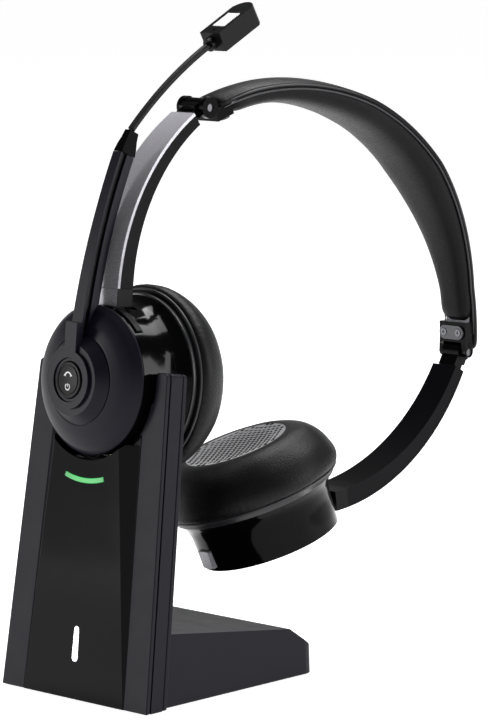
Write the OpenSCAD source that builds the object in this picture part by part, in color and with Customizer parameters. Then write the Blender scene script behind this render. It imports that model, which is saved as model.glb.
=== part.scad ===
// Wireless office headset parked on its desk charging stand.
// +X is the right-hand side of the stand, +Y its back, +Z up.
// The origin is the middle of the underside of the rubber rest pad.

/* [Stand] */
// Width of the upright where it meets the desk
upright_w = 80; // [76:0.5:84]
// Width of the upright across the tips of its two wings
wing_w = 69.6; // [68:0.2:73]
// Height of the wing tips above the desk
upright_h = 121.5; // [119:0.5:125]
// Thickness of the upright from front face to back face
upright_t = 10.1; // [9.8:0.1:11]
// Backward lean of the upright, in degrees
upright_lean = 9.5; // [9:0.1:10]
// How far the front panel stands proud at its upper edge
panel_proud = 4.7; // [3.5:0.1:5.2]
// Depth of the stand from front edge to rear edge
foot_d = 88; // [86:0.5:92]
// Width of the foot
foot_w = 74.6; // [70:0.2:76]
// Height of the foot where it leaves the upright
foot_h = 27.4; // [26:0.1:29]

/* [Cups] */
// Height of the talk cup's axis above the desk
cup_z = 116.9; // [116.5:0.1:117.5]
// Distance of the talk cup's rim plane behind the front edge
cup_y = 15.1; // [14.8:0.1:15.4]
// Backward lean of the parked talk cup, in degrees
cup_lean = 7.1; // [6.8:0.1:7.4]
// Radius of the outer disc
disc_r = 27.5; // [27:0.1:28]
// Radius of the plate that carries the cushion
plate_r = 32; // [31.5:0.1:32.5]
// Largest radius of the ear cushion
cushion_r = 35.2; // [35:0.1:35.8]
// Thickness of the ear cushion
cushion_t = 19.4; // [18:0.1:21]
// Tilt of the listening cup on its link at rest, in degrees
listen_tilt = 10.3; // [9:0.1:11]
// Swivel of the listening cup at rest, in degrees
listen_swivel = -9; // [-10:0.5:-6]

/* [Headband] */
// Mean radius of the arm on the talk side
arm_1_r = 80.8; // [80:0.1:82]
// Mean radius of the arm on the listening side, which flexes flatter
arm_2_r = 89; // [88:0.1:90]
// Thickness of an arm
arm_t = 7.7; // [7:0.1:8.2]
// Width of an arm at its cup; it narrows towards its hinge
arm_w = 16; // [14:0.2:17]
// Radius of the padded band at its seam
band_r = 103; // [102:0.1:103.5]
// Width of the padded band
band_w = 29; // [26:0.5:31]
// Thickness of the inner pad
pad_t = 8.5; // [8:0.5:10]

/* [Boom] */
// Radius that the boom arm is bowed to
boom_r = 265; // [260:1:270]
// Thickness of the boom arm, front to back
boom_t = 6.8; // [6:0.1:6.9]
// Width of the boom arm at its hub
boom_w = 6.2; // [5.6:0.1:7]
// Diameter of the flexible gooseneck
neck_d = 2.8; // [2.4:0.1:3.2]

/* [Hidden] */
$fn = 96;

// Stand
pad_y = 47.5;                  // middle of the rest pad, behind the front edge
base_z = 0.6;                  // the hard parts stop this far above the desk
cover_t = 1.8;                 // front cover
back_y = 8.1;                  // where the back cover starts
seam_in = 0.8;                 // depth of the shadow gaps
wall = 2.2;
strip_w = 12.2;                // width of the matte strip on each side of the panel
cradle_r = 29.3;
lens_r = 36.8;                 // the status lens is an arc round the cup's axis
lens_a = 16.5;

// Cups, in the cup's own frame: +Z points away from the ear, +Y towards the arm
plate_z = -22.2;               // plane where plate and cushion meet
plate_t = 1.8;
shell_r = 27;
hub_r = 16.3;
hub_z = 6.4;                   // underside of the turning hub
ring_r = 10.6;
button_r = 6.7;
boss_r = 8;
link_z = -6.2;                 // the arm's axis in the cup's frame
pin_y = 22.5;                  // tilt pin
pin_r = 1.3;
post_r = 2.6;
end_y = 27.2;                  // lower edge of the arm's end piece
end_l = 6.6;                   // length of the arm's end piece
flat_y = 26.2;                 // the shell is cut flat under the arm
button_a = 13;                 // the listening cup's button sits this far round from its lowest point
listen_reach = 4.3;            // the listening cup stands this much further from its arm

// Headband: centres of the three arcs in the YZ plane, from the front edge
talk_up = [sin(cup_lean), cos(cup_lean)];
talk_out = [-cos(cup_lean), sin(cup_lean)];
arm_1_foot = [cup_y, cup_z] + (end_y + end_l) * talk_up + link_z * talk_out;
arm_1_c = arm_1_foot - arm_1_r * talk_out;
arm_2_c = [128.2, 144.8];
band_c = [107.6, 114.3];
arm_1_a = [120.5, 180 - cup_lean];   // arm 1 from its mouth to its end piece
arm_2_a = [-32.2, -84.5];
pivot_1_a = 115.5;             // hinge pins, as angles on the arms' arcs
pivot_2_a = -27.4;
pivot_1 = polar(arm_1_c, arm_1_r - 0.8, pivot_1_a);
pivot_2 = polar(arm_2_c, arm_2_r - 0.2, pivot_2_a);
band_a = [1.2, 104.2];         // padded length of the band
core_a = [-2.7, 106.7];         // spring strip inside the band
band_taper_a = 44.5;           // the band is at its narrowest this far from its crown
plate_a = [-1.5, 106.3];       // screw plates at both ends of the pad
plate_l = 5.6;
band_end_w = 16;                // width of the leather at the hinges
knuckle_r = 3.5;
knuckle_w = 9;
hinge_pin_r = 1.5;
lug_w = 14;
strip_t = 1;
strip_in = 1.3;                // the strip lies this far inside the arm's mean line
arm_thin = 2.4;                // how much thinner an arm is at its mouth
strip_wide = 7.6;
arm_mouth_w = 12.4;            // width of an arm at its hinge

// Boom: centre of its arc and the layers of its section, counted from the front face
boom_c = [266.5, 77.9];
boom_a = [152.8, 170.2];
boom_tip_w = 4.4;
cover_l = 1.2;
channel_l = 3.2;
neck_from = [38, 206.3];       // where the gooseneck leaves the boom tip
neck_to = [77.4, 234];
mic_dir = 26.5;                // slope of the microphone capsule
mic_l = 25.5;
mic_w = 10.6;
mic_h = 7.8;

// ---- helpers -------------------------------------------------------------

function unit(v) = v / norm(v);

function polar(c, r, a) = c + r * [cos(a), sin(a)];

// Points of a fillet of radius r at q, between the neighbours p and s
function fillet(p, q, s, r, n) =
    let (a = unit(p - q), b = unit(s - q), half = acos(a * b) / 2,
         c = q + unit(a + b) * r / sin(half),
         from = q + a * r / tan(half) - c, to = q + b * r / tan(half) - c,
         a0 = atan2(from.y, from.x),
         turn = ((atan2(to.y, to.x) - a0 + 540) % 360) - 180)
    [for (i = [0 : n]) polar(c, r, a0 + turn * i / n)];

// A closed outline with all its corners rounded
function rounded(pts, r, n = 5) =
    [for (i = [0 : len(pts) - 1])
        each fillet(pts[(i + len(pts) - 1) % len(pts)], pts[i], pts[(i + 1) % len(pts)], r, n)];

function box_pts(w, h) = [[-w / 2, -h / 2], [w / 2, -h / 2], [w / 2, h / 2], [-w / 2, h / 2]];

// Everything is drawn from the stand's front bottom edge and moved to the pad's middle
module desk() {
    translate([0, -pad_y, 0]) children();
}

// Extrude a YZ outline along X, centred
module side_extrude(w) {
    rotate([90, 0, 90]) translate([0, 0, -w / 2]) linear_extrude(w) children();
}

// A bar bent in the YZ plane round c; the section is given as [radius, x]
module bent(c, a0, a1) {
    translate([0, c[0], c[1]]) rotate([90, 0, 90]) rotate([0, 0, a0])
        rotate_extrude(angle = a1 - a0, $fn = 180) children();
}

// A rectangular section for bent()
module section(r0, r1, w) {
    translate([r0, -w / 2]) square([r1 - r0, w]);
}

module leaning() {
    rotate([-upright_lean, 0, 0]) children();
}

// A slice of the upright between two depths, its outline drawn in by inset
module slab(y0, y1, inset = 0) {
    h = upright_h / cos(upright_lean) - inset;
    drop = 4;
    slope = (upright_w - wing_w) / 2 / (upright_h / cos(upright_lean));
    leaning() translate([0, y1, 0]) rotate([90, 0, 0]) linear_extrude(y1 - y0) polygon(rounded([
        [-upright_w / 2 + inset - slope * drop, -drop], [upright_w / 2 - inset + slope * drop, -drop],
        [upright_w / 2 - slope * h - inset, h], [-upright_w / 2 + slope * h + inset, h]], 1.6));
}

// The opening for the front panel, grown by grow
module panel_outline(y0, y1, grow = 0) {
    h = 100;
    bottom = upright_w / 2 - strip_w + grow;
    top = wing_w / 2 - strip_w + grow + 1.6;
    leaning() translate([0, y1, 0]) rotate([90, 0, 0]) linear_extrude(y1 - y0)
        polygon([[-bottom, -4], [bottom, -4], [top, h], [-top, h]]);
}

module talk_frame() {
    translate([0, cup_y, cup_z]) rotate([90 - cup_lean, 0, 0]) children();
}

// The frame that the talk cup's frame would be, if arm 2 carried a talk cup
module arm_2_frame() {
    p = polar(arm_2_c, arm_2_r, arm_2_a[1]);
    translate([0, p.x, p.y]) rotate([270 + arm_2_a[1], 0, 0]) rotate([0, 0, 180])
        translate([0, -end_y - end_l - listen_reach, -link_z]) children();
}

// The listening cup's link turns on its post by the swivel
module listen_link_frame() {
    arm_2_frame() translate([0, 0, link_z]) rotate([0, listen_swivel, 0])
        translate([0, 0, -link_z]) children();
}

// The listening cup tilts on its link round the pin
module listen_frame() {
    listen_link_frame() translate([0, pin_y, link_z]) rotate([-listen_tilt, 0, 0])
        translate([0, -pin_y, -link_z]) children();
}

// The round seat for the talk cup, open towards the top
module cradle(r) {
    talk_frame() translate([0, 0, -40]) {
        cylinder(r = r, h = 60);
        translate([-r, 0, 0]) cube([2 * r, 40, 60]);
    }
}

module below_base() {
    translate([-80, -20, base_z - 40]) cube([160, 160, 40]);
}

// ---- stand ---------------------------------------------------------------

module front_cover() {
    color("#2b2930") desk() difference() {
        slab(0, cover_t);
        panel_outline(-1, cover_t + 1);
        cradle(cradle_r);
        below_base();
    }
}

// The two sprung charging pins under the cup, or their bores
module pin_bores(r) {
    talk_frame() for (x = [-4.5, 4.5]) translate([x, -28.45, -8.4]) rotate([90, 0, 0]) cylinder(r = r, h = 4.4);
}

module upright_shell() {
    color("#2b2930") desk() difference() {
        union() {
            slab(cover_t, cover_t + 0.5, seam_in);
            slab(cover_t + 0.5, back_y - 0.3);
            slab(back_y - 0.3, back_y, seam_in);
        }
        difference() {
            slab(cover_t - 1, back_y + 1, seam_in + wall);
            cradle(cradle_r + 2);
        }
        cradle(cradle_r);
        pin_bores(1);
        below_base();
    }
}

module back_cover() {
    color("#26242b") desk() difference() {
        slab(back_y, upright_t);
        cradle(cradle_r);
        below_base();
    }
}

// The proud part of the panel: a wedge that grows upwards between two slanted side facets
module panel_wedge() {
    top = 96;
    bottom_x = upright_w / 2 - strip_w - 0.2;
    top_x = wing_w / 2 - strip_w + 1.4;
    facet_in = 6.7;
    difference() {
        side_extrude(2 * bottom_x) polygon([[0.3, 0.8], [-0.15, 0.8], [-panel_proud, top], [0.3, top]]);
        for (side = [0, 1]) mirror([side, 0, 0]) translate([bottom_x, 0, 0])
            rotate([0, -atan2(bottom_x - top_x, top), 0]) rotate([0, 0, -atan2(facet_in, panel_proud)])
                translate([0, -50, -10]) cube([50, 100, 130]);
    }
}

module status_slot(grow) {
    talk_frame() translate([0, 0, -10]) rotate([0, 0, 270 - lens_a]) rotate_extrude(angle = 2 * lens_a)
        translate([lens_r - 0.9 - grow, 0]) square([1.8 + 2 * grow, 30]);
}

module power_slot(grow) {
    leaning() translate([0, 3, 21]) rotate([90, 0, 0]) linear_extrude(8)
        polygon(rounded(box_pts(2.8 + 2 * grow, 13 + 2 * grow), 1.35 + grow));
}

module front_panel() {
    color("#0b0b0d") desk() difference() {
        union() {
            panel_outline(0, cover_t, -0.12);
            difference() {
                panel_outline(cover_t, cover_t + 0.9, 1.6);
                cradle(cradle_r + 2.1);
                below_base();
            }
            leaning() panel_wedge();
        }
        cradle(cradle_r);
        status_slot(0.05);
        power_slot(0.05);
        below_base();
    }
}

module status_lens() {
    color("#35d04a") desk() intersection() {
        status_slot(0);
        leaning() translate([-20, -0.4 - panel_proud * 0.82, 70])
            cube([40, cover_t + 1 + panel_proud * 0.82, 25]);
    }
}

module power_lens() {
    color("#f4f6ff") desk() intersection() {
        power_slot(0);
        leaning() translate([-5, -1.15, 10]) cube([10, cover_t + 2, 30]);
    }
}

module dock_board() {
    color("#1d5a33") desk() leaning() {
        translate([-19, 4.2, 6]) cube([38, 1.2, 74]);
        for (x = [-7, 0, 7]) translate([x - 1, 3.4, 76]) cube([2, 0.8, 2]);
        translate([-1, 3.4, 18]) cube([2, 0.8, 5]);
        translate([-9, 5.4, 30]) cube([12, 1.2, 12]);
    }
}

module dock_liner() {
    color("#151517") desk() talk_frame() difference() {
        translate([0, 0, -12.6]) cylinder(r = cradle_r - 0.02, h = 8.4);
        translate([0, 0, -13]) cylinder(r = cradle_r - 0.55, h = 10);
        translate([-40, -6, -14]) cube([80, 60, 12]);
        for (x = [-4.5, 4.5]) translate([x, -20, -8.4]) rotate([90, 0, 0]) cylinder(r = 1.1, h = 12);
    }
}

module dock_pins() {
    color("#c8a24a") desk() pin_bores(0.9);
}

// Side view of the foot, drawn in by inset
module foot_side(inset) {
    y0 = 10.9;
    back = upright_t / cos(upright_lean) + 0.25;
    polygon([
        [y0 + inset, base_z - 1], [foot_d - 0.3 - inset, base_z - 1], [foot_d - inset, base_z + 1],
        [foot_d - 0.9 - inset, foot_h - 16.8 - inset], [foot_d - 12.6 - inset, foot_h - 8.4 - inset],
        [back + foot_h * tan(upright_lean) + inset, foot_h - inset],
        [back + inset, base_z]]);
}

module foot_plan(inset) {
    linear_extrude(60) polygon(rounded([
        [-foot_w / 2 + inset, 0], [foot_w / 2 - inset, 0],
        [foot_w / 2 - inset, foot_d - inset], [-foot_w / 2 + inset, foot_d - inset]], 5 - inset));
}

module foot_shell() {
    color("#2b2930") desk() difference() {
        intersection() {
            side_extrude(foot_w) foot_side(0);
            foot_plan(0);
        }
        intersection() {
            side_extrude(foot_w) foot_side(wall);
            foot_plan(wall);
        }
        translate([-foot_w / 2 + wall, 14, -1]) cube([foot_w - 2 * wall, foot_d - 14 - wall, 4]);
        translate([0, foot_d + 1, 7]) rotate([90, 0, 0]) linear_extrude(9)
            polygon(rounded(box_pts(9.3, 3.5), 1.7));
        below_base();
    }
}

module base_cover() {
    color("#202024") desk() difference() {
        translate([-foot_w / 2 + wall + 0.2, 14.2, base_z]) cube([foot_w - 2 * wall - 0.4, foot_d - 16.8, 1.9]);
        translate([-32.1, pad_y - 30.1, base_z - 1]) cube([64.2, 60.2, 1.5]);
        for (x = [-33.5, 33.5]) for (y = [18.5, 77])
            translate([x, y, base_z - 1]) cylinder(r = 1.3, h = 4);
    }
}

module rest_pad() {
    color("#101012") desk() translate([-32, pad_y - 30, 0]) cube([64, 60, 1.1]);
}

module ballast() {
    color("#8d9096") desk() translate([-29, 20, base_z + 1.9]) cube([58, 50, 11.5]);
}

module usb_inlet() {
    color("#b9bcc2") desk() translate([0, foot_d - 0.2, 7]) rotate([90, 0, 0]) {
        linear_extrude(7.2) difference() {
            polygon(rounded(box_pts(9, 3.2), 1.55));
            polygon(rounded(box_pts(8.3, 2.5), 1.2));
        }
        translate([0, 0, 6.4]) linear_extrude(0.8) polygon(rounded(box_pts(8.6, 2.8), 1.3));
        translate([-3.3, -0.35, 1.2]) cube([6.6, 0.7, 5.4]);
    }
}

module stand_screws() {
    color("#8d9096") desk() for (x = [-33.5, 33.5]) for (y = [18.5, 77])
        translate([x, y, base_z]) {
            cylinder(r = 1.25, h = 1.9);
        }
}

// ---- cup parts shared by both sides ---------------------------------------

// The glossy housing; the mouth for the link is open on the arm's side
module cup_shell(front_z) {
    difference() {
        rotate_extrude() polygon([
            [shell_r - 2, front_z], [shell_r, front_z], [shell_r + 0.4, -6], [shell_r + 0.7, -13],
            [shell_r + 1.6, -17], [plate_r - 0.8, plate_z + plate_t],
            [plate_r - 2.8, plate_z + plate_t], [shell_r - 0.6, -16.6], [shell_r - 1.4, -13],
            [shell_r - 1.8, -6]]);
        translate([-9, flat_y, -12.8]) cube([18, 20, 12.8 + front_z - 0.01]);
        translate([-5.5, 15, -11.2]) cube([11, 20, 10]);
    }
    for (side = [-1, 1]) translate([side * 7.2, pin_y, link_z]) rotate([0, 90, 0]) difference() {
        translate([0, 0, -1.6]) cylinder(r = 3, h = 3.2);
        translate([0, 0, -3]) cylinder(r = pin_r - 0.02, h = 6);
    }
}

module cup_plate() {
    translate([0, 0, plate_z]) difference() {
        cylinder(r = plate_r, h = plate_t);
        translate([0, 0, -1]) cylinder(r = 17.6, h = 4);
    }
}

// Plain closed solid of the ear cushion: a flat listening face with round shoulders
module cup_cushion() {
    top = plate_z - cushion_t;
    rotate_extrude() polygon([
        [0, plate_z - 0.05], [plate_r - 1.6, plate_z - 0.05], [cushion_r - 0.7, plate_z - 0.6],
        [cushion_r, plate_z - 1.6], [cushion_r, plate_z - 4.5], [cushion_r - 0.9, plate_z - 8.5],
        [cushion_r - 3.6, plate_z - 12.8], [cushion_r - 7.6, top + 3], [cushion_r - 11.2, top + 0.8],
        [cushion_r - 14, top], [0, top - 0.2]]);
}

module cup_driver() {
    translate([0, 0, plate_z]) {
        translate([0, 0, 0.1]) cylinder(r = 17.5, h = 3.4);
        translate([0, 0, 3.5]) cylinder(r = 13, h = 3.4);
    }
}

// Block, tilt knuckle and swivel post between a cup and its arm
module cup_link(reach) {
    difference() {
        union() {
            translate([-5, pin_y, link_z - 2.9]) cube([10, end_y - 0.5 + reach - pin_y, 5.8]);
            translate([-5, pin_y, link_z]) rotate([0, 90, 0]) cylinder(r = 2.9, h = 10);
            translate([0, end_y - 1 + reach, link_z]) rotate([-90, 0, 0]) cylinder(r = post_r, h = 5.4);
        }
        translate([-6, pin_y, link_z]) rotate([0, 90, 0]) cylinder(r = pin_r + 0.05, h = 12);
    }
}

module tilt_pin() {
    translate([-8.6, pin_y, link_z]) rotate([0, 90, 0]) cylinder(r = pin_r, h = 17.2);
}

// ---- talk cup -------------------------------------------------------------

module talk_disc() {
    color("#302e35") desk() talk_frame() difference() {
        rotate_extrude() polygon([
            [boss_r, 4.2], [boss_r, 11.2], [button_r + 0.15, 11.2], [button_r + 0.15, 2.2],
            [15.5, 2.2], [23.5, 0.8], [25.3, -1], [disc_r - 0.7, -1], [disc_r, -0.2], [disc_r, 0.6],
            [disc_r - 0.6, 1.3], [24.6, 3.4], [20.8, 5.2], [17.4, 6.3], [16.5, 6.1], [boss_r, 6.1]]);
        translate([0, 0, -0.5]) cylinder(r = 5, h = 1);
    }
}

module talk_shell() {
    color("#0c0c0e") desk() talk_frame() difference() {
        cup_shell(-1);
        rotate([0, 0, 43.4]) translate([0, 0, -5.2]) rotate_extrude(angle = 31.2)
            translate([shell_r - 1.4, 0]) square([4, 3.3]);
        for (x = [-4.5, 4.5]) translate([x, -shell_r + 3, -8.4]) rotate([90, 0, 0])
            cylinder(r = 1.7, h = 6);
    }
}

module talk_plate() {
    color("#3a3a3e") desk() talk_frame() cup_plate();
}

module talk_cushion() {
    color("#19191b") desk() talk_frame() cup_cushion();
}

module talk_driver() {
    color("#6f7276") desk() talk_frame() cup_driver();
}

module talk_board() {
    color("#1d5a33") desk() talk_frame() difference() {
        translate([0, 0, -12.4]) cylinder(r = 24, h = 1.2);
        translate([-40, 13, -13]) cube([80, 40, 3]);
    }
}

module battery() {
    color("#c9ccd2") desk() talk_frame() translate([-13, -15, -10.4]) cube([26, 24, 5.2]);
}

module charge_contacts() {
    color("#c8a24a") desk() talk_frame() for (x = [-4.5, 4.5])
        translate([x, -shell_r + 3, -8.4]) rotate([90, 0, 0]) cylinder(r = 1.6, h = 3.1);
}

module call_button() {
    color("#232226") desk() talk_frame() {
        difference() {
            translate([0, 0, 5]) cylinder(r = button_r, h = 7);
            for (r = [3.9, 5.2]) translate([0, 0, 11.7]) difference() {
                cylinder(r = r + 0.25, h = 1);
                translate([0, 0, -1]) cylinder(r = r - 0.25, h = 3);
            }
        }
        translate([0, 0, 1.2]) cylinder(r = 2.5, h = 4);
    }
}

module volume_rocker() {
    color("#d9dade") desk() talk_frame() rotate([0, 0, 44.4]) translate([0, 0, -5.1])
        rotate_extrude(angle = 29.2) translate([shell_r - 1, 0]) square([1.9, 3]);
}

// ---- boom and microphone --------------------------------------------------

// Keeps the boom's bars between tapering sides
module boom_taper(less) {
    translate([0, 60, 0]) rotate([90, 0, 0]) linear_extrude(90) polygon([
        [-boom_w / 2 + less, 120], [boom_w / 2 - less, 120], [boom_tip_w / 2 - less, 180],
        [boom_tip_w / 2 - less, 230], [-boom_tip_w / 2 + less, 230], [-boom_tip_w / 2 + less, 180]]);
}

// A layer of the boom between two depths behind its front face
module boom_layer(t0, t1, less) {
    difference() {
        intersection() {
            bent(boom_c, boom_a[0], boom_a[1]) section(boom_r - t1, boom_r - t0, 12);
            boom_taper(less);
        }
        talk_frame() translate([0, 0, -5]) cylinder(r = boss_r + 1.1, h = 30);
        talk_frame() rotate_extrude() polygon([
            [0, -20], [disc_r + 0.5, -20], [disc_r + 0.5, 1.6], [24.8, 3.9], [21, 5.7], [17.5, 6.7],
            [0, 6.7]]);
    }
}

module boom_arm() {
    color("#2a292e") desk() {
        talk_frame() difference() {
            translate([0, 0, hub_z]) cylinder(r1 = hub_r, r2 = 13.1, h = 4.2);
            translate([0, 0, 0]) cylinder(r = boss_r + 0.07, h = 20);
        }
        boom_layer(channel_l, boom_t, 0);
    }
}

module boom_channel() {
    color("#0a0a0b") desk() difference() {
        boom_layer(cover_l, channel_l, 0.8);
        talk_frame() cylinder(r = 14.5, h = hub_z + 4.2);
        talk_frame() translate([0, 0, hub_z - 0.05]) cylinder(r1 = hub_r + 0.05, r2 = 13.15, h = 4.25);
    }
}

module boom_cover() {
    color("#333238") desk() {
        talk_frame() difference() {
            translate([0, 0, hub_z + 4.2]) cylinder(r = ring_r, h = 1.3);
            translate([0, 0, 0]) cylinder(r = boss_r + 0.07, h = 20);
        }
        difference() {
            boom_layer(0, cover_l, 0);
            talk_frame() translate([0, 0, hub_z]) cylinder(r1 = hub_r, r2 = 13.1, h = 4.2);
        }
        talk_frame() translate([-boom_w / 2, ring_r - 1.6, hub_z + 3]) intersection() {
            cube([boom_w, 12, 2.5]);
            translate([boom_w / 2, 1.6 - ring_r, -hub_z - 3]) difference() {
                cylinder(r = 22, h = 30);
                cylinder(r = boss_r + 0.07, h = 30);
                translate([0, 0, hub_z]) cylinder(r1 = hub_r, r2 = 13.1, h = 4.2);
            }
        }
    }
}

module boom_tip() {
    color("#202024") desk() difference() {
        bent(boom_c, boom_a[0] - 2, boom_a[0] - 0.05) section(boom_r - boom_t - 0.4, boom_r, boom_tip_w + 0.6);
        translate([0, neck_from[0], neck_from[1]]) sphere(r = neck_d / 2 + 0.05, $fn = 32);
    }
}

// The gooseneck's middle line is an arc from the tip to the microphone
neck_chord = norm(neck_to - neck_from);
neck_slope = atan2(neck_to.y - neck_from.y, neck_to.x - neck_from.x);
neck_half = neck_slope - mic_dir;
neck_r = neck_chord / 2 / sin(neck_half);
neck_c = polar(neck_to, neck_r, mic_dir - 90);

module gooseneck() {
    color("#121214") desk() bent(neck_c, mic_dir + 90, mic_dir + 90 + 2 * neck_half)
        translate([neck_r, 0]) circle(d = neck_d, $fn = 32);
}

// Frame of the microphone: +Y along the capsule, +Z out of its window side
module mic_frame() {
    translate([0, neck_to.x, neck_to.y]) rotate([mic_dir, 0, 0]) children();
}

module mic_housing() {
    color("#161618") desk() mic_frame() difference() {
        union() {
            translate([-mic_w / 2, 3, -mic_h / 2]) cube([mic_w, mic_l - 6, mic_h]);
            translate([0, mic_l - 5, -mic_h / 2]) scale([1, 1, 1]) cylinder(r = mic_w / 2, h = mic_h);
            translate([0, 0.2, 0]) rotate([-90, 0, 0]) cylinder(r = 2.6, h = 4);
        }
        translate([0, -0.1, 0]) rotate([-90, 0, 0]) cylinder(r = neck_d / 2 + 0.02, h = 0.3);
        translate([-3.3, 8, mic_h / 2 - 0.8]) cube([6.6, 9.6, 2]);
        translate([0, 5.4, mic_h / 2 - 2.2]) cylinder(r = 0.6, h = 4);
        translate([0, mic_l - 5.5, -2]) cylinder(r = 3.1, h = 4);
    }
}

module mic_window() {
    color("#f1f1f3") desk() mic_frame() translate([-3.25, 8.05, mic_h / 2 - 0.8]) cube([6.5, 9.5, 0.9]);
}

module mic_capsule() {
    color("#9a9da3") desk() mic_frame() translate([0, mic_l - 5.5, -1.5]) cylinder(r = 3, h = 3);
}

// ---- links, arms and hinges -----------------------------------------------

module talk_link() {
    color("#1a1a1d") desk() talk_frame() cup_link(0);
}

module talk_pin() {
    color("#a7aab0") desk() talk_frame() tilt_pin();
}

// End piece that turns on the link's post
module arm_end(reach) {
    translate([0, end_y + reach, link_z]) difference() {
        translate([-arm_w / 2, 0, -arm_t / 2]) cube([arm_w, end_l, arm_t]);
        translate([0, -1, 0]) rotate([-90, 0, 0]) cylinder(r = post_r + 0.05, h = 5.8);
    }
}

module arm_1_end() {
    color("#77777f") desk() talk_frame() arm_end(0);
}

// Keeps an arm between sides that narrow from its foot to its mouth
module arm_taper(c, r, span) {
    foot = polar(c, r, span[1]);
    mouth = polar(c, r, span[0]);
    along = mouth - foot;
    translate([0, foot.x, foot.y]) rotate([atan2(along.y, along.x), 0, 0])
        translate([0, 0, -40]) linear_extrude(80) polygon([
            [-arm_w / 2, -20], [arm_w / 2, -20], [arm_w / 2, 0], [arm_mouth_w / 2, norm(along)],
            [arm_mouth_w / 2, norm(along) + 20], [-arm_mouth_w / 2, norm(along) + 20],
            [-arm_mouth_w / 2, norm(along)], [-arm_w / 2, 0]]);
}

// Centre of an arm's outer surface: the arm gets thinner by arm_thin towards its mouth
function outer_c(c, span) =
    c - arm_thin / sin(span[0] - span[1]) * [-sin(span[1]), cos(span[1])];

// Hollow arm: closed at its foot, open at its mouth for the slide strip
module arm_shell(c, r, span) {
    way = sign(span[1] - span[0]);
    far = outer_c(c, span);
    difference() {
        intersection() {
            bent(c, span[0], span[1]) section(r - arm_t / 2, r + arm_t, arm_w + 4);
            translate([-20, far.x, far.y]) rotate([0, 90, 0]) cylinder(r = r + arm_t / 2 - 1.3, h = 40, $fn = 180);
            arm_taper(c, r, span);
        }
        bent(c, span[0] - way, span[1] - 2 * way) section(r - strip_in - 0.9, r - strip_in + 0.9, strip_wide + 0.6);
    }
}

module arm_cover(c, r, span) {
    intersection() {
        bent(outer_c(c, span), min(span) - 8, max(span) + 8) section(r + arm_t / 2 - 1.25, r + arm_t / 2, arm_w + 4);
        bent(c, span[0], span[1]) section(r - arm_t, r + arm_t, arm_w + 4);
        arm_taper(c, r, span);
    }
}

module arm_1_shell() {
    color("#1c1b20") desk() arm_shell(arm_1_c, arm_1_r, arm_1_a);
}

module arm_1_cover() {
    color("#85838d") desk() arm_cover(arm_1_c, arm_1_r, arm_1_a);
}

// Knuckle and stepped neck between the hinge pin and the arm's mouth
module leaf(c, r, pin, pivot, mouth) {
    way = sign(mouth - pivot);
    slot_r = r - strip_in;
    difference() {
        union() {
            translate([-knuckle_w / 2, pin.x, pin.y]) rotate([0, 90, 0]) cylinder(r = knuckle_r, h = knuckle_w);
            bent(c, pivot, mouth - way * 0.35) section(r - 2.9, r + 1.3, knuckle_w - 0.4);
            bent(c, pivot + way * 1.4, mouth - way * 1.8) section(r + 0.6, r + 2.6, knuckle_w - 0.8);
        }
        translate([-20, pin.x, pin.y]) rotate([0, 90, 0]) cylinder(r = hinge_pin_r + 0.06, h = 40);
        bent(c, pivot + way * 2.6, mouth + way) section(slot_r - strip_t / 2, slot_r + strip_t / 2, strip_wide);
    }
}

module slide_strip(c, r, pivot, mouth) {
    way = sign(mouth - pivot);
    bent(c, pivot + way * 2.7, mouth + way * 32)
        section(r - strip_in - strip_t / 2, r - strip_in + strip_t / 2, strip_wide - 0.1);
}

module hinge_1_leaf() {
    color("#141416") desk() leaf(arm_1_c, arm_1_r, pivot_1, pivot_1_a, arm_1_a[0]);
}

module arm_1_strip() {
    color("#a7aab0") desk() slide_strip(arm_1_c, arm_1_r, pivot_1_a, arm_1_a[0]);
}

// Band end: a block under the leather with two lugs round the knuckle
module band_end(p, a0, a1, lug_r) {
    difference() {
        union() {
            bent(band_c, a0, a1) section(band_r - 5.4, band_r - 0.6, lug_w);
            translate([-lug_w / 2 - 0.2, p.x, p.y]) rotate([0, 90, 0]) cylinder(r = lug_r, h = lug_w + 0.4);
        }
        translate([-knuckle_w / 2 - 0.3, p.x, p.y]) rotate([0, 90, 0])
            cylinder(r = knuckle_r + 0.9, h = knuckle_w + 0.6);
        translate([-20, p.x, p.y]) rotate([0, 90, 0]) cylinder(r = hinge_pin_r - 0.02, h = 40);
        bent(band_c, core_a[0] - 0.3, core_a[1] + 0.3) section(band_r - 2, band_r - 1.1, 12.2);
    }
}

module band_end_1() {
    color("#141416") desk() band_end(pivot_1, band_a[1] + 0.3, 109.4, 4);
}

module band_end_2() {
    color("#141416") desk() band_end(pivot_2, band_a[0] - 0.3, -6.3, 2.1);
}

module hinge_pins() {
    color("#a7aab0") desk() for (p = [pivot_1, pivot_2])
        translate([-lug_w / 2 + 0.3, p.x, p.y]) rotate([0, 90, 0]) cylinder(r = hinge_pin_r, h = lug_w - 0.6);
}

// Frame on the inner face of the band at an angle: +Z towards the head
module band_face(a) {
    p = polar(band_c, band_r - 5.4, a);
    translate([0, p.x, p.y]) rotate([a + 90, 0, 0]) children();
}

module hinge_plates() {
    color("#4a4a50") desk() for (a = plate_a) band_face(a) difference() {
        translate([0, 0, 0.1]) linear_extrude(0.8) polygon(rounded(box_pts(12.6, plate_l), plate_l / 2 - 0.1));
        for (x = [-3.8, 3.8]) translate([x, 0, -1]) cylinder(r = 1.45, h = 4);
    }
}

module hinge_screws() {
    color("#9a9da3") desk() for (a = plate_a) band_face(a) for (x = [-3.8, 3.8])
        translate([x, 0, 0.02]) difference() {
            cylinder(r = 1.4, h = 1.1);
            for (t = [0, 90]) rotate([0, 0, t]) translate([-0.85, -0.18, 0.6]) cube([1.7, 0.36, 1]);
        }
}

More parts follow.
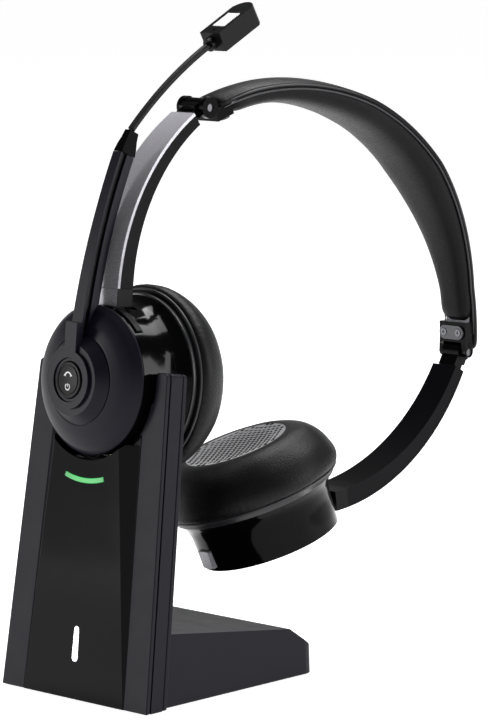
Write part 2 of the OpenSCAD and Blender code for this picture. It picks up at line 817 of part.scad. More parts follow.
// Room for the two knuckles under the leather
module knuckle_room() {
    for (p = [pivot_1, pivot_2]) translate([-knuckle_w / 2 - 0.4, p.x, p.y]) rotate([0, 90, 0])
        cylinder(r = knuckle_r + 0.9, h = knuckle_w + 0.8);
}

module band_core() {
    color("#a7aab0") desk() bent(band_c, core_a[0], core_a[1]) section(band_r - 1.95, band_r - 1.15, 12);
}

// Keeps the band's soft parts between sides that narrow from the crown to both ends
module band_taper(less) {
    mid = (band_a[0] + band_a[1]) / 2;
    wide = band_w / 2 - less;
    end = band_end_w / 2 - less;
    reach = band_r * sin(band_taper_a);
    translate([0, band_c.x, band_c.y]) rotate([mid - 90, 0, 0]) linear_extrude(band_r + 20)
        polygon([
            [-end, -reach - 30], [end, -reach - 30], [end, -reach], [wide, -reach * 0.35],
            [wide, reach * 0.35], [end, reach], [end, reach + 30], [-end, reach + 30],
            [-end, reach], [-wide, reach * 0.35], [-wide, -reach * 0.35], [-end, -reach]]);
}

// Outer leather, from hinge to hinge
module band_cover() {
    color("#1b1b1e") desk() intersection() {
        bent(band_c, -5.5, 108) polygon([
            [band_r - 0.5, -band_w], [band_r + 1.8, -band_w / 2], [band_r + 2.5, -band_w / 4],
            [band_r + 2.7, 0], [band_r + 2.5, band_w / 4], [band_r + 1.8, band_w / 2],
            [band_r - 0.5, band_w]]);
        band_taper(0);
        difference() {
            bent(band_c, -10, 112) section(band_r - 10, band_r + 10, 2 * band_w);
            knuckle_room();
        }
    }
}

// Plain closed solid of the soft inner pad
module band_pad() {
    color("#1b1b1e") desk() intersection() {
        bent(band_c, band_a[0], band_a[1]) polygon([
            [band_r - 2.2, -band_w / 2 + 1], [band_r - 2.2, band_w / 2 - 1],
            [band_r - 5, band_w / 2 - 0.6], [band_r - pad_t + 1, band_w / 4], [band_r - pad_t, 0],
            [band_r - pad_t + 1, -band_w / 4], [band_r - 5, -band_w / 2 + 0.6]]);
        band_taper(0.8);
    }
}

module hinge_2_leaf() {
    color("#141416") desk() leaf(arm_2_c, arm_2_r, pivot_2, pivot_2_a, arm_2_a[0]);
}

module arm_2_strip() {
    color("#a7aab0") desk() slide_strip(arm_2_c, arm_2_r, pivot_2_a, arm_2_a[0]);
}

module arm_2_shell() {
    color("#1c1b20") desk() arm_shell(arm_2_c, arm_2_r, arm_2_a);
}

module arm_2_cover() {
    color("#1f1e23") desk() arm_cover(arm_2_c, arm_2_r, arm_2_a);
}

module arm_2_end() {
    color("#1c1b20") desk() arm_2_frame() arm_end(listen_reach);
}

// ---- listening cup ---------------------------------------------------------

module listen_link() {
    color("#1a1a1d") desk() listen_link_frame() cup_link(listen_reach);
}

module listen_pin() {
    color("#a7aab0") desk() listen_frame() tilt_pin();
}

// The button's block, grown by grow for its pocket
module button_block(grow) {
    rotate([0, 0, button_a]) translate([-4 - grow, -shell_r - 1.6, -9.6 - grow])
        cube([8 + 2 * grow, 4.2, 7 + 2 * grow]);
}

module listen_shell() {
    color("#0c0c0e") desk() listen_frame() {
        difference() {
            cup_shell(-1);
            button_block(0.1);
        }
        translate([0, 0, -2.6]) cylinder(r = shell_r - 1.5, h = 1.6);
        rotate([0, 0, button_a]) translate([-7, 4.2 - shell_r, -11.5]) cube([14, 1.6, 10]);
    }
}

module listen_plate() {
    color("#3a3a3e") desk() listen_frame() cup_plate();
}

module listen_cushion() {
    color("#19191b") desk() listen_frame() cup_cushion();
}

module listen_driver() {
    color("#6f7276") desk() listen_frame() cup_driver();
}

module listen_button() {
    color("#a3a3a8") desk() listen_frame() button_block(0);
}

// ---- nodes -----------------------------------------------------------------

front_cover();
upright_shell();
back_cover();
front_panel();
foot_shell();
base_cover();
rest_pad();
ballast();
dock_board();
dock_liner();
dock_pins();
status_lens();
power_lens();
usb_inlet();
stand_screws();
talk_disc();
talk_shell();
talk_plate();
talk_cushion();
talk_driver();
talk_board();
battery();
charge_contacts();
call_button();
volume_rocker();
boom_arm();
boom_channel();
boom_cover();
boom_tip();
gooseneck();
mic_housing();
mic_window();
mic_capsule();
talk_link();
talk_pin();
arm_1_end();
arm_1_shell();
arm_1_cover();
hinge_1_leaf();
arm_1_strip();
band_core();
band_cover();
band_pad();
band_end_1();
band_end_2();
hinge_pins();
hinge_plates();
hinge_screws();
hinge_2_leaf();
arm_2_strip();
arm_2_shell();
arm_2_cover();
arm_2_end();
listen_link();
listen_pin();
listen_shell();
listen_plate();
listen_cushion();
listen_driver();
listen_button();
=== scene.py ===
from math import atan2, cos, pi, radians, sin, sqrt

import bmesh
import bpy
from mathutils import Matrix, Vector, noise


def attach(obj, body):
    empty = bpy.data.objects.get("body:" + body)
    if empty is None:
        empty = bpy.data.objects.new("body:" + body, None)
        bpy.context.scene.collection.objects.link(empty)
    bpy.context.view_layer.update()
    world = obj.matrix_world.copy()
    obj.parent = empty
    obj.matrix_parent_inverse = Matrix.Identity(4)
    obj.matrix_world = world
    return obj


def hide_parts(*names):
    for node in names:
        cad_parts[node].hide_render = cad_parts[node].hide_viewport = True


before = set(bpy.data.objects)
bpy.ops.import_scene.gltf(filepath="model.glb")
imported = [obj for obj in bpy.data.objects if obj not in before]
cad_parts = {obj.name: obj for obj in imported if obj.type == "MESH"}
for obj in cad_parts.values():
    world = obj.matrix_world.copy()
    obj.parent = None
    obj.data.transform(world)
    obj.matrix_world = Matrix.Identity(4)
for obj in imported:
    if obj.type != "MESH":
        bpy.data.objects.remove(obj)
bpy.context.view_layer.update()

MM = 0.001

# ---------------------------------------------------------------------------
# Places, in millimetres, as in the part's source. +Y is counted from the stand's front edge.
# ---------------------------------------------------------------------------
PAD_Y = 47.5                       # the origin is this far behind the front edge
CUP_AT = (0, 15.1, 116.9)          # middle of the talk cup's rim
CUP_LEAN = 7.1
PLATE_Z = -22.2                    # in a cup: where plate and cushion meet
CUSHION_R = 35.2
FACE_LIFT = 0.9                    # the listening face lies this much nearer the plate than DISH
FACE_R = 20.6                      # and its pale finish, a painted sheen on the black leatherette, ends here
HOLES_R = 19.4                     # no hole has its middle further out than this
LINK_Z = -6.2
PIN_Y = 22.5
END_Y = 27.2
END_L = 6.6
LISTEN_REACH = 4.3
LISTEN_TILT = 10.3
LISTEN_SWIVEL = -9
ARM_2_C = (128.2, 144.8)
ARM_2_R = 89.0
ARM_2_END = -84.5
BAND_C = (107.6, 114.3)
BAND_R = 103.0
BAND_W = 29.0
BAND_END_W = 16.0
PAD_FROM, PAD_TO = 1.2, 104.2      # angles round the band's axis, in degrees
CROWN_A = (PAD_FROM + PAD_TO) / 2
PAD_BACK = BAND_R - 1.6            # the pad's flat side, against the band
TAPER_A = 44.5                     # the band is at its narrowest this many degrees from its crown
COVER_FROM, COVER_TO = -5.5, 108.0
NECK_FROM = (38.0, 206.3)
NECK_TO = (77.4, 234.0)
MIC_SLOPE = 26.5
NECK_D = 2.8
BOOM_C = (266.5, 77.9)
BOOM_R, BOOM_T = 265.0, 6.8
BOOM_END = 152.75                  # the bar's upper end, as an angle on its arc
TIP_LENGTH = 1.95                  # in degrees of the same arc


def at(x, y, z):
    """A point given from the stand's front edge, in millimetres."""
    return Vector((x, y - PAD_Y, z)) * MM


def turn(degrees, axis):
    return Matrix.Rotation(radians(degrees), 4, axis)


def move(x, y, z):
    return Matrix.Translation(Vector((x, y, z)) * MM)


def place(x, y, z):
    return Matrix.Translation(at(x, y, z))


# Each cup's own frame: +Z away from the ear, +Y towards the arm
TALK = place(*CUP_AT) @ turn(90 - CUP_LEAN, "X")
ARM_2_FOOT = (0, ARM_2_C[0] + ARM_2_R * cos(radians(ARM_2_END)),
              ARM_2_C[1] + ARM_2_R * sin(radians(ARM_2_END)))
LISTEN = (place(*ARM_2_FOOT) @ turn(270 + ARM_2_END, "X") @ turn(180, "Z")
          @ move(0, -END_Y - END_L - LISTEN_REACH, -LINK_Z)
          @ move(0, 0, LINK_Z) @ turn(LISTEN_SWIVEL, "Y") @ move(0, 0, -LINK_Z)
          @ move(0, PIN_Y, LINK_Z) @ turn(-LISTEN_TILT, "X") @ move(0, -PIN_Y, -LINK_Z))


# ---------------------------------------------------------------------------
# Finishes
# ---------------------------------------------------------------------------
def node(tree, kind, **sockets):
    made = tree.nodes.new(kind)
    for name, value in sockets.items():
        made.inputs[name.replace("_", " ")].default_value = value
    return made


def blank(name, **sockets):
    """A material with one Principled shader; sockets are set on it directly."""
    mat = bpy.data.materials.new(name)
    mat.use_nodes = True
    shader = mat.node_tree.nodes["Principled BSDF"]
    for key, value in sockets.items():
        shader.inputs[key.replace("_", " ")].default_value = value
    return mat, mat.node_tree, shader


def object_coordinates(tree):
    return tree.nodes.new("ShaderNodeTexCoord").outputs["Object"]


def cloud(tree, coordinates, scale, detail=3.0, roughness=0.55):
    made = node(tree, "ShaderNodeTexNoise", Scale=scale, Detail=detail, Roughness=roughness)
    tree.links.new(coordinates, made.inputs["Vector"])
    return made.outputs["Fac"]


def ramp(tree, value, stops):
    """Turns a 0..1 value into colours; stops are (position, grey or colour)."""
    made = tree.nodes.new("ShaderNodeValToRGB")
    while len(made.color_ramp.elements) < len(stops):
        made.color_ramp.elements.new(0.5)
    for element, (position, shade) in zip(made.color_ramp.elements, stops):
        element.position = position
        element.color = (*shade, 1) if isinstance(shade, tuple) else (shade, shade, shade, 1)
    tree.links.new(value, made.inputs["Fac"])
    return made.outputs["Color"]


def blend_colours(tree, amount, low, high):
    made = tree.nodes.new("ShaderNodeMix")
    made.data_type = "RGBA"
    for socket, value in ((made.inputs[6], low), (made.inputs[7], high)):
        if isinstance(value, tuple):
            socket.default_value = (*value, 1)
        else:
            tree.links.new(value, socket)
    tree.links.new(amount, made.inputs["Factor"])
    return made.outputs[2]


def relief(tree, shader, height, distance, strength, below=None):
    made = node(tree, "ShaderNodeBump", Strength=strength, Distance=distance)
    tree.links.new(height, made.inputs["Height"])
    if below is not None:
        tree.links.new(below, made.inputs["Normal"])
    tree.links.new(made.outputs["Normal"], shader.inputs["Normal"])
    return made.outputs["Normal"]


def spread(tree, value, low, high):
    made = node(tree, "ShaderNodeMapRange", To_Min=low, To_Max=high)
    tree.links.new(value, made.inputs["Value"])
    return made.outputs["Result"]


def moulded(name, colour, roughness, grain=2600.0, depth=0.00004, patch=0.18, **sockets):
    """Spark-eroded plastic: fine grain, and slow patches in tone and sheen."""
    sockets.setdefault("Specular_IOR_Level", 0.2)
    mat, tree, shader = blank(name, **sockets)
    coordinates = object_coordinates(tree)
    patches = cloud(tree, coordinates, 35, 4)
    dark = tuple(channel * (1 - patch) for channel in colour)
    light = tuple(channel * (1 + patch) for channel in colour)
    body = blend_colours(tree, patches, dark, light)
    tree.links.new(body, shader.inputs["Base Color"])
    tree.links.new(spread(tree, cloud(tree, coordinates, 120, 5), roughness - 0.06, roughness + 0.06),
                   shader.inputs["Roughness"])
    relief(tree, shader, cloud(tree, coordinates, grain, 2), depth, 0.5)
    return mat


def polished(name, colour, roughness):
    """Gloss moulding: a very faint flow ripple and a few specks of dust."""
    mat, tree, shader = blank(name, Coat_Weight=0.015, Coat_Roughness=0.05, Specular_IOR_Level=0.08)
    coordinates = object_coordinates(tree)
    dust = ramp(tree, cloud(tree, coordinates, 900, 2), [(0.72, 0.0), (0.78, 0.35)])
    grey = tuple(min(1.0, channel * 3 + 0.02) for channel in colour)
    tree.links.new(blend_colours(tree, dust, colour, grey), shader.inputs["Base Color"])
    tree.links.new(spread(tree, cloud(tree, coordinates, 60, 4), roughness * 0.7, roughness * 1.5),
                   shader.inputs["Roughness"])
    relief(tree, shader, cloud(tree, coordinates, 45, 1), 0.00001, 0.25)
    return mat


def leatherette(name, colour, cell, depth, roughness, crease=0.0, shine=0.2, coat=0.0):
    """Coated fabric: pebbled cells with painted shade in their valleys, hair-fine creases, slow patches of
    tone.
    """
    mat, tree, shader = blank(name, Sheen_Weight=0.012, Sheen_Roughness=0.4, Specular_IOR_Level=shine,
                              Coat_Weight=coat, Coat_Roughness=0.3)
    coordinates = object_coordinates(tree)
    cells = node(tree, "ShaderNodeTexVoronoi", Scale=cell, Randomness=0.95)
    cells.feature = "SMOOTH_F1"
    tree.links.new(coordinates, cells.inputs["Vector"])
    pebble = ramp(tree, cells.outputs["Distance"], [(0.1, 1.0), (0.75, 0.0)])
    fold = cloud(tree, coordinates, 260, 6, 0.65)
    patches = cloud(tree, coordinates, 45, 4)
    body = blend_colours(tree, patches, tuple(c * 0.8 for c in colour), tuple(c * 1.25 for c in colour))
    # painted shade: the base colour is darker in the valleys between the pebbles
    pebble_painted_shade = blend_colours(tree, pebble, tuple(c * 0.55 for c in colour), body)
    tree.links.new(pebble_painted_shade, shader.inputs["Base Color"])
    tree.links.new(spread(tree, pebble, roughness + 0.12, roughness - 0.05), shader.inputs["Roughness"])
    first = relief(tree, shader, fold, 0.0001 + crease, 0.35)
    relief(tree, shader, pebble, depth, 0.6, below=first)
    return mat


def lacquered_metal_painted_top_light(name, shaded_low_colour, lit_high_colour, top_light_from, top_light_to, roughness=0.42):
    """Metallic lacquer with fine flakes, with painted light: paler towards the top, as if lit from above."""
    mat, tree, shader = blank(name, Metallic=0.55)
    coordinates = object_coordinates(tree)
    parts = tree.nodes.new("ShaderNodeSeparateXYZ")
    tree.links.new(coordinates, parts.inputs["Vector"])
    # painted light: the base colour runs from the shaded low colour up to the lit high colour with height
    height = node(tree, "ShaderNodeMapRange", From_Min=top_light_from, From_Max=top_light_to)
    tree.links.new(parts.outputs["Z"], height.inputs["Value"])
    body = blend_colours(tree, height.outputs["Result"], shaded_low_colour, lit_high_colour)
    flakes = ramp(tree, cloud(tree, coordinates, 3800, 1), [(0.45, 0.0), (0.75, 0.5)])
    bright = tuple(min(1.0, c * 1.7) for c in lit_high_colour)
    tree.links.new(blend_colours(tree, flakes, body, bright), shader.inputs["Base Color"])
    tree.links.new(spread(tree, cloud(tree, coordinates, 500, 3), roughness - 0.07, roughness + 0.08),
                   shader.inputs["Roughness"])
    relief(tree, shader, cloud(tree, coordinates, 3000, 2), 0.00003, 0.4)
    return mat


def brushed(name, colour, roughness=0.3, along="X"):
    """Bare metal with grinding marks along one axis."""
    mat, tree, shader = blank(name, Metallic=1.0)
    coordinates = object_coordinates(tree)
    stretch = tree.nodes.new("ShaderNodeMapping")
    stretch.inputs["Scale"].default_value = [0.04 if axis == along else 1.0 for axis in "XYZ"]
    tree.links.new(coordinates, stretch.inputs["Vector"])
    lines = cloud(tree, stretch.outputs["Vector"], 4000, 3)
    tree.links.new(blend_colours(tree, lines, tuple(c * 0.75 for c in colour), colour),
                   shader.inputs["Base Color"])
    tree.links.new(spread(tree, lines, roughness - 0.08, roughness + 0.12), shader.inputs["Roughness"])
    relief(tree, shader, lines, 0.00001, 0.5)
    return mat


def lit(name, colour, glow, strength, axis, low, high, dim=0.25):
    """A light pipe: brightest in the middle of its length, dimmer at both ends."""
    mat, tree, shader = blank(name, Roughness=0.25)
    parts = tree.nodes.new("ShaderNodeSeparateXYZ")
    tree.links.new(object_coordinates(tree), parts.inputs["Vector"])
    along = node(tree, "ShaderNodeMapRange", From_Min=low, From_Max=high)
    tree.links.new(parts.outputs[axis], along.inputs["Value"])
    shade = ramp(tree, along.outputs["Result"], [(0.0, dim), (0.3, 1.0), (0.75, 1.0), (1.0, dim)])
    tinted = blend_colours(tree, shade, tuple(c * 0.3 for c in glow), glow)
    shader.inputs["Base Color"].default_value = (*colour, 1)
    tree.links.new(tinted, shader.inputs["Emission Color"])
    shader.inputs["Emission Strength"].default_value = strength
    return mat


FINISH = {
    "stand_matte": moulded("stand_matte", (0.0068, 0.006, 0.0106), 0.44, Specular_IOR_Level=0.12),
    "base_black": moulded("base_black", (0.01, 0.01, 0.012), 0.6),
    "pad_rubber": moulded("pad_rubber", (0.008, 0.008, 0.009), 0.8, grain=1400, depth=0.00008),
    "steel": brushed("steel", (0.13, 0.13, 0.14)),
    "circuit": moulded("circuit", (0.02, 0.11, 0.05), 0.35, grain=800),
    "gold": brushed("gold", (0.85, 0.62, 0.25), 0.22),
    "panel_gloss": polished("panel_gloss", (0.002, 0.0019, 0.0026), 0.07),
    "status_light": lit("status_light", (0.01, 0.12, 0.03), (0.012, 0.42, 0.06), 0.95, "X", -0.0115, 0.0115),
    "power_light": lit("power_light", (0.9, 0.9, 0.95), (0.95, 0.95, 1.0), 2.2, "Z", 0.0142, 0.0275, 0.5),
    "inlet_metal": brushed("inlet_metal", (0.5, 0.51, 0.53), 0.28, "Y"),
    "soft_touch": moulded("soft_touch", (0.006, 0.0053, 0.0102), 0.36, grain=4200, depth=0.00002,
                          Specular_IOR_Level=0.13),
    "gloss_black": polished("gloss_black", (0.0012, 0.0012, 0.0015), 0.1),
    "plate_dark": moulded("plate_dark", (0.02, 0.02, 0.022), 0.3, grain=2000, Specular_IOR_Level=0.5),
    "satin_black": moulded("satin_black", (0.003, 0.003, 0.0036), 0.32, grain=3200, depth=0.00002,
                           Specular_IOR_Level=0.1),
    "neck_rubber": moulded("neck_rubber", (0.004, 0.004, 0.0045), 0.5, grain=1800),
    "mic_white": moulded("mic_white", (0.8, 0.8, 0.81), 0.25, grain=1200, depth=0.00001, patch=0.04),
    # painted light on both: arm_silver and hinge_grey grow paler towards the top, as if lit from above
    "arm_silver": lacquered_metal_painted_top_light("arm_silver", (0.2, 0.197, 0.215), (0.48, 0.47, 0.51), 0.15, 0.21),
    "hinge_grey": lacquered_metal_painted_top_light("hinge_grey", (0.045, 0.045, 0.05), (0.06, 0.06, 0.065), 0.1, 0.2, 0.35),
    "ear_leather": leatherette("ear_leather", (0.0035, 0.0035, 0.0042), 1900, 0.00012, 0.4, shine=0.18),
    # painted sheen: the listening face's black leatherette is given a pale base colour for the sheen it shows
    "ear_face": leatherette("ear_face", (0.4, 0.4, 0.41), 1900, 0.00003, 0.26, shine=1.0, coat=1.0),
    "band_leather": leatherette("band_leather", (0.0032, 0.0031, 0.004), 1700, 0.00007, 0.42,
                                crease=0.00005, shine=0.12),
    "thread": moulded("thread", (0.02, 0.02, 0.023), 0.4, grain=3000, Specular_IOR_Level=0.4),
    # painted shade: black, unreflecting discs stand in for the shadow inside the cushions' holes
    "hole_painted_shade": moulded("hole_painted_shade", (0.0015, 0.0015, 0.0015), 0.9, Specular_IOR_Level=0.0),
    "icon_white": moulded("icon_white", (0.75, 0.75, 0.76), 0.4, grain=1200, patch=0.03),
    "satin_arm": moulded("satin_arm", (0.0026, 0.0025, 0.0034), 0.3, grain=3200, depth=0.00002,
                         Specular_IOR_Level=0.06),
}


# ---------------------------------------------------------------------------
# Making pieces
# ---------------------------------------------------------------------------
def finish_piece(name, mesh_data, finish, body, replaced=(), smooth=40.0):
    """Closes a bmesh into an object at the origin, with its finish, body and the nodes it stands for."""
    mesh = bpy.data.meshes.new(name)
    mesh_data.to_mesh(mesh)
    mesh_data.free()
    piece = bpy.data.objects.new(name, mesh)
    bpy.context.scene.collection.objects.link(piece)
    mesh.materials.append(FINISH[finish])
    mesh.shade_smooth()
    mesh.set_sharp_from_angle(angle=radians(smooth))
    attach(piece, body)
    if replaced:
        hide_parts(*replaced)
    return piece


def rounding(piece, width, segments=3, angle=30.0):
    made = piece.modifiers.new("edges", "BEVEL")
    made.width = width * MM
    made.segments = segments
    made.limit_method = "ANGLE"
    made.angle_limit = radians(angle)
    made.harden_normals = True
    made.miter_outer = "MITER_ARC"
    return piece


def faced(piece, finish, chosen):
    """Gives a second finish to the faces that chosen(centre, normal) picks, in the frame's metres."""
    piece.data.materials.append(FINISH[finish])
    for face in piece.data.polygons:
        if chosen(face.center, face.normal):
            face.material_index = 1
    return piece


def cad_copy(part):
    bm = bmesh.new()
    bm.from_mesh(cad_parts[part].data)
    bmesh.ops.remove_doubles(bm, verts=bm.verts, dist=0.002 * MM)
    return bm


def softened(part, body, finish, width, angle=32.0):
    """The CAD piece with its edges broken, as the mould leaves them."""
    bm = cad_copy(part)
    bmesh.ops.dissolve_limit(bm, angle_limit=radians(0.4), verts=bm.verts, edges=bm.edges)
    piece = finish_piece(part + "_piece", bm, finish, body, [part], smooth=angle)
    return rounding(piece, width, angle=angle)


def lathe(outline, steps):
    """Spins an outline of (radius, height) points round Z."""
    bm = bmesh.new()
    corners = [bm.verts.new((radius * MM, 0, height * MM)) for radius, height in outline]
    edges = [bm.edges.new(pair) for pair in zip(corners, corners[1:])]
    bmesh.ops.spin(bm, geom=corners + edges, cent=(0, 0, 0), axis=(0, 0, 1), angle=2 * pi,
                   steps=steps, use_merge=True)
    bmesh.ops.remove_doubles(bm, verts=bm.verts, dist=0.001 * MM)
    bmesh.ops.recalc_face_normals(bm, faces=bm.faces)
    return bm


def turned(name, outline, where, finish, body, replaced=(), steps=128, smooth=28.0):
    """A lathe piece, turned round the +Z of the place it goes to."""
    bm = lathe(outline, steps)
    bmesh.ops.transform(bm, matrix=where, verts=bm.verts)
    return finish_piece(name, bm, finish, body, replaced, smooth)


def arc(cx, cy, radius, start, end, count=8):
    """Points of an arc, in degrees."""
    return [(cx + radius * cos(radians(start + (end - start) * i / count)),
             cy + radius * sin(radians(start + (end - start) * i / count))) for i in range(count + 1)]


def smooth_path(points, count):
    """A Catmull-Rom curve through a few points of an outline."""
    ends = [points[0]] + list(points) + [points[-1]]
    path = []
    for i in range(len(points) - 1):
        a, b, c, d = (Vector(p) for p in ends[i:i + 4])
        for j in range(count):
            t = j / count
            path.append(0.5 * ((2 * b) + (c - a) * t + (2 * a - 5 * b + 4 * c - d) * t * t
                               + (3 * b - a - 3 * c + d) * t ** 3))
    return [tuple(p) for p in path] + [tuple(points[-1])]


def eased(t):
    """0 below 0, 1 above 1, and a soft step between."""
    t = max(0.0, min(1.0, t))
    return t * t * (3 - 2 * t)


def tube(bm, path, radius, sides=10, across=(1, 0, 0)):
    """Bridges rings along a path into a closed tube; radius may be a function of 0..1."""
    across = Vector(across)
    rings = []
    for i, point in enumerate(path):
        ahead = (path[min(i + 1, len(path) - 1)] - path[max(i - 1, 0)]).normalized()
        side = (across - ahead * across.dot(ahead)).normalized()
        frame_here = Matrix((side, ahead.cross(side), ahead)).transposed().to_4x4()
        frame_here.translation = point
        size = radius(i / (len(path) - 1)) if callable(radius) else radius
        made = bmesh.ops.create_circle(bm, cap_ends=False, segments=sides, radius=size * MM,
                                       matrix=frame_here)["verts"]
        rings.append([edge for edge in {e for v in made for e in v.link_edges}])
    for near, far in zip(rings, rings[1:]):
        bmesh.ops.bridge_loops(bm, edges=near + far)
    for ring in (rings[0], rings[-1]):
        bmesh.ops.contextual_create(bm, geom=ring)


def band_width(degrees):
    """Half width of the band: full over the crown, narrower towards both hinges."""
    along = abs(sin(radians(degrees - CROWN_A))) / sin(radians(TAPER_A))
    if abs(degrees - CROWN_A) > 89:      # beyond a quarter turn the sine falls again
        along = 2
    return BAND_W / 2 + (BAND_END_W - BAND_W) / 2 * max(0.0, min(1.0, (along - 0.3) / 0.7)) ** 1.15


def band_point(degrees, x, radius):
    return at(x, BAND_C[0] + radius * cos(radians(degrees)), BAND_C[1] + radius * sin(radians(degrees)))


def band_sweep(name, outline, start, end, steps, shape, finish, body, replaced=()):
    """Spins a section (x, radius) round the band's axis, then shape() narrows it along its length."""
    bm = bmesh.new()
    centre = at(0, *BAND_C)
    corners = [bm.verts.new(centre + Vector((x * MM, radius * MM, 0))) for x, radius in outline]
    edges = [bm.edges.new(pair) for pair in zip(corners, corners[1:] + corners[:1])]
    bmesh.ops.rotate(bm, cent=centre, matrix=Matrix.Rotation(radians(start), 3, "X"), verts=bm.verts)
    bmesh.ops.spin(bm, geom=corners + edges, cent=centre, axis=(1, 0, 0), angle=radians(end - start),
                   steps=steps)
    bmesh.ops.holes_fill(bm, edges=[e for e in bm.edges if e.is_boundary])
    for vert in bm.verts:
        offset = vert.co - centre
        degrees = atan2(offset.z, offset.y) * 180 / pi
        radius = sqrt(offset.y ** 2 + offset.z ** 2) / MM
        x, radius = shape(degrees, offset.x / MM, radius)
        vert.co = band_point(degrees, x, radius)
    bmesh.ops.recalc_face_normals(bm, faces=bm.faces)
    return finish_piece(name, bm, finish, body, replaced, 50)


# ---------------------------------------------------------------------------
# Camera, floor and light
# ---------------------------------------------------------------------------
AZIMUTH, ELEVATION, ROLL = 46.641, 8.529, -1.654
DISTANCE = 1.50004
LENS = 198.96
AIM = Vector((0, 0.04363, 0.11472))
CEILING_LIGHT = 0.1
WALL_TOP = 0.14                    # height of the white wall, as the sine of its angle
WALL_FADE = 0.08
FLOOR_GLOW = 0.92


def make_camera():
    az, el, roll = radians(AZIMUTH), radians(ELEVATION), radians(ROLL)
    back = Vector((sin(az) * cos(el), -cos(az) * cos(el), sin(el)))
    level = Vector((cos(az), sin(az), 0))
    upright = level.cross(-back)
    right = cos(roll) * level + sin(roll) * upright
    upward = -sin(roll) * level + cos(roll) * upright
    data = bpy.data.cameras.new("camera")
    data.sensor_width = 36
    data.lens = LENS
    data.clip_end = 20
    camera = bpy.data.objects.new("camera", data)
    camera.matrix_world = Matrix((right, upward, back)).transposed().to_4x4()
    camera.matrix_world.translation = AIM + DISTANCE * back
    bpy.context.scene.collection.objects.link(camera)
    bpy.context.scene.camera = camera


def softbox(name, place_at, aim, width, height, watts):
    data = bpy.data.lights.new(name, "AREA")
    data.shape = "RECTANGLE"
    data.size, data.size_y = width, height
    data.energy = watts
    light = bpy.data.objects.new(name, data)
    light.matrix_world = (Vector(place_at) - Vector(aim)).to_track_quat("Z", "Y").to_matrix().to_4x4()
    light.matrix_world.translation = Vector(place_at)
    bpy.context.scene.collection.objects.link(light)


def make_floor():
    """A pale floor that glows, so only a soft shade of the stand shows on it."""
    bm = bmesh.new()
    bmesh.ops.create_grid(bm, x_segments=4, y_segments=4, size=6)
    mesh = bpy.data.meshes.new("floor")
    bm.to_mesh(mesh)
    bm.free()
    floor = bpy.data.objects.new("floor", mesh)
    mat, tree, shader = blank("floor", Roughness=0.9, Specular_IOR_Level=0.0, Emission_Strength=FLOOR_GLOW)
    shader.inputs["Base Color"].default_value = (0.55, 0.55, 0.55, 1)
    shader.inputs["Emission Color"].default_value = (1, 1, 1, 1)
    mesh.materials.append(mat)
    bpy.context.scene.collection.objects.link(floor)


def make_world():
    """A white studio wall all round, under a dim ceiling."""
    world = bpy.data.worlds.new("studio")
    world.use_nodes = True
    tree = world.node_tree
    parts = tree.nodes.new("ShaderNodeSeparateXYZ")
    tree.links.new(tree.nodes.new("ShaderNodeTexCoord").outputs["Generated"], parts.inputs["Vector"])
    shade = ramp(tree, parts.outputs["Z"], [(0.0, 1.0), (WALL_TOP, 1.0),
                                            (WALL_TOP + WALL_FADE, CEILING_LIGHT), (1.0, CEILING_LIGHT)])
    tree.links.new(shade, tree.nodes["Background"].inputs["Color"])
    bpy.context.scene.world = world


def make_studio():
    make_world()
    make_floor()
    bpy.context.scene.view_settings.view_transform = "Standard"
    softbox("left_box", (-0.75, -1.0, 0.35), (0, 0, 0.12), 0.35, 0.7, 7)
    softbox("top_box", (-0.1, 0.5, 1.1), (0, 0.05, 0.12), 0.9, 0.7, 20)
    softbox("right_box", (0.95, 0.65, 0.45), (0, 0.05, 0.1), 0.25, 0.8, 6)


# ---------------------------------------------------------------------------
# Stand
# ---------------------------------------------------------------------------
def make_stand():
    softened("front_cover", "stand", "stand_matte", 0.55)
    softened("upright_shell", "stand", "stand_matte", 0.22)
    softened("back_cover", "stand", "stand_matte", 0.45)
    softened("front_panel", "stand", "panel_gloss", 0.22, angle=8)
    softened("foot_shell", "stand", "stand_matte", 0.8)
    softened("base_cover", "stand", "base_black", 0.25)
    softened("rest_pad", "stand", "pad_rubber", 0.3)
    softened("status_lens", "stand", "status_light", 0.15)
    softened("power_lens", "stand", "power_light", 0.2)
    softened("dock_liner", "stand", "pad_rubber", 0.1)
    softened("usb_inlet", "stand", "inlet_metal", 0.08)
    for part, finish in (("ballast", "steel"), ("dock_board", "circuit"), ("dock_pins", "gold"),
                         ("stand_screws", "steel")):
        refinish(part, finish)


def refinish(part, finish):
    """A CAD piece whose shape is right keeps it and gets a better finish."""
    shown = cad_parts[part]
    shown.data.materials.clear()
    shown.data.materials.append(FINISH[finish])


# ---------------------------------------------------------------------------
# Cups
# ---------------------------------------------------------------------------
# The dish of the listening face: (radius, height from the plate)
DISH = [(0.0, -19.0), (8.0, -19.1), (15.0, -19.5), (19.0, -20.0), (21.5, -20.15)]


def ear_face(radius):
    """Height of the dished listening face at a radius, in the cup's frame."""
    for (r0, z0), (r1, z1) in zip(DISH, DISH[1:]):
        if radius <= r1:
            t = (radius - r0) / (r1 - r0)
            return PLATE_Z + z0 + (z1 - z0) * t + FACE_LIFT
    return PLATE_Z + DISH[-1][1] + FACE_LIFT


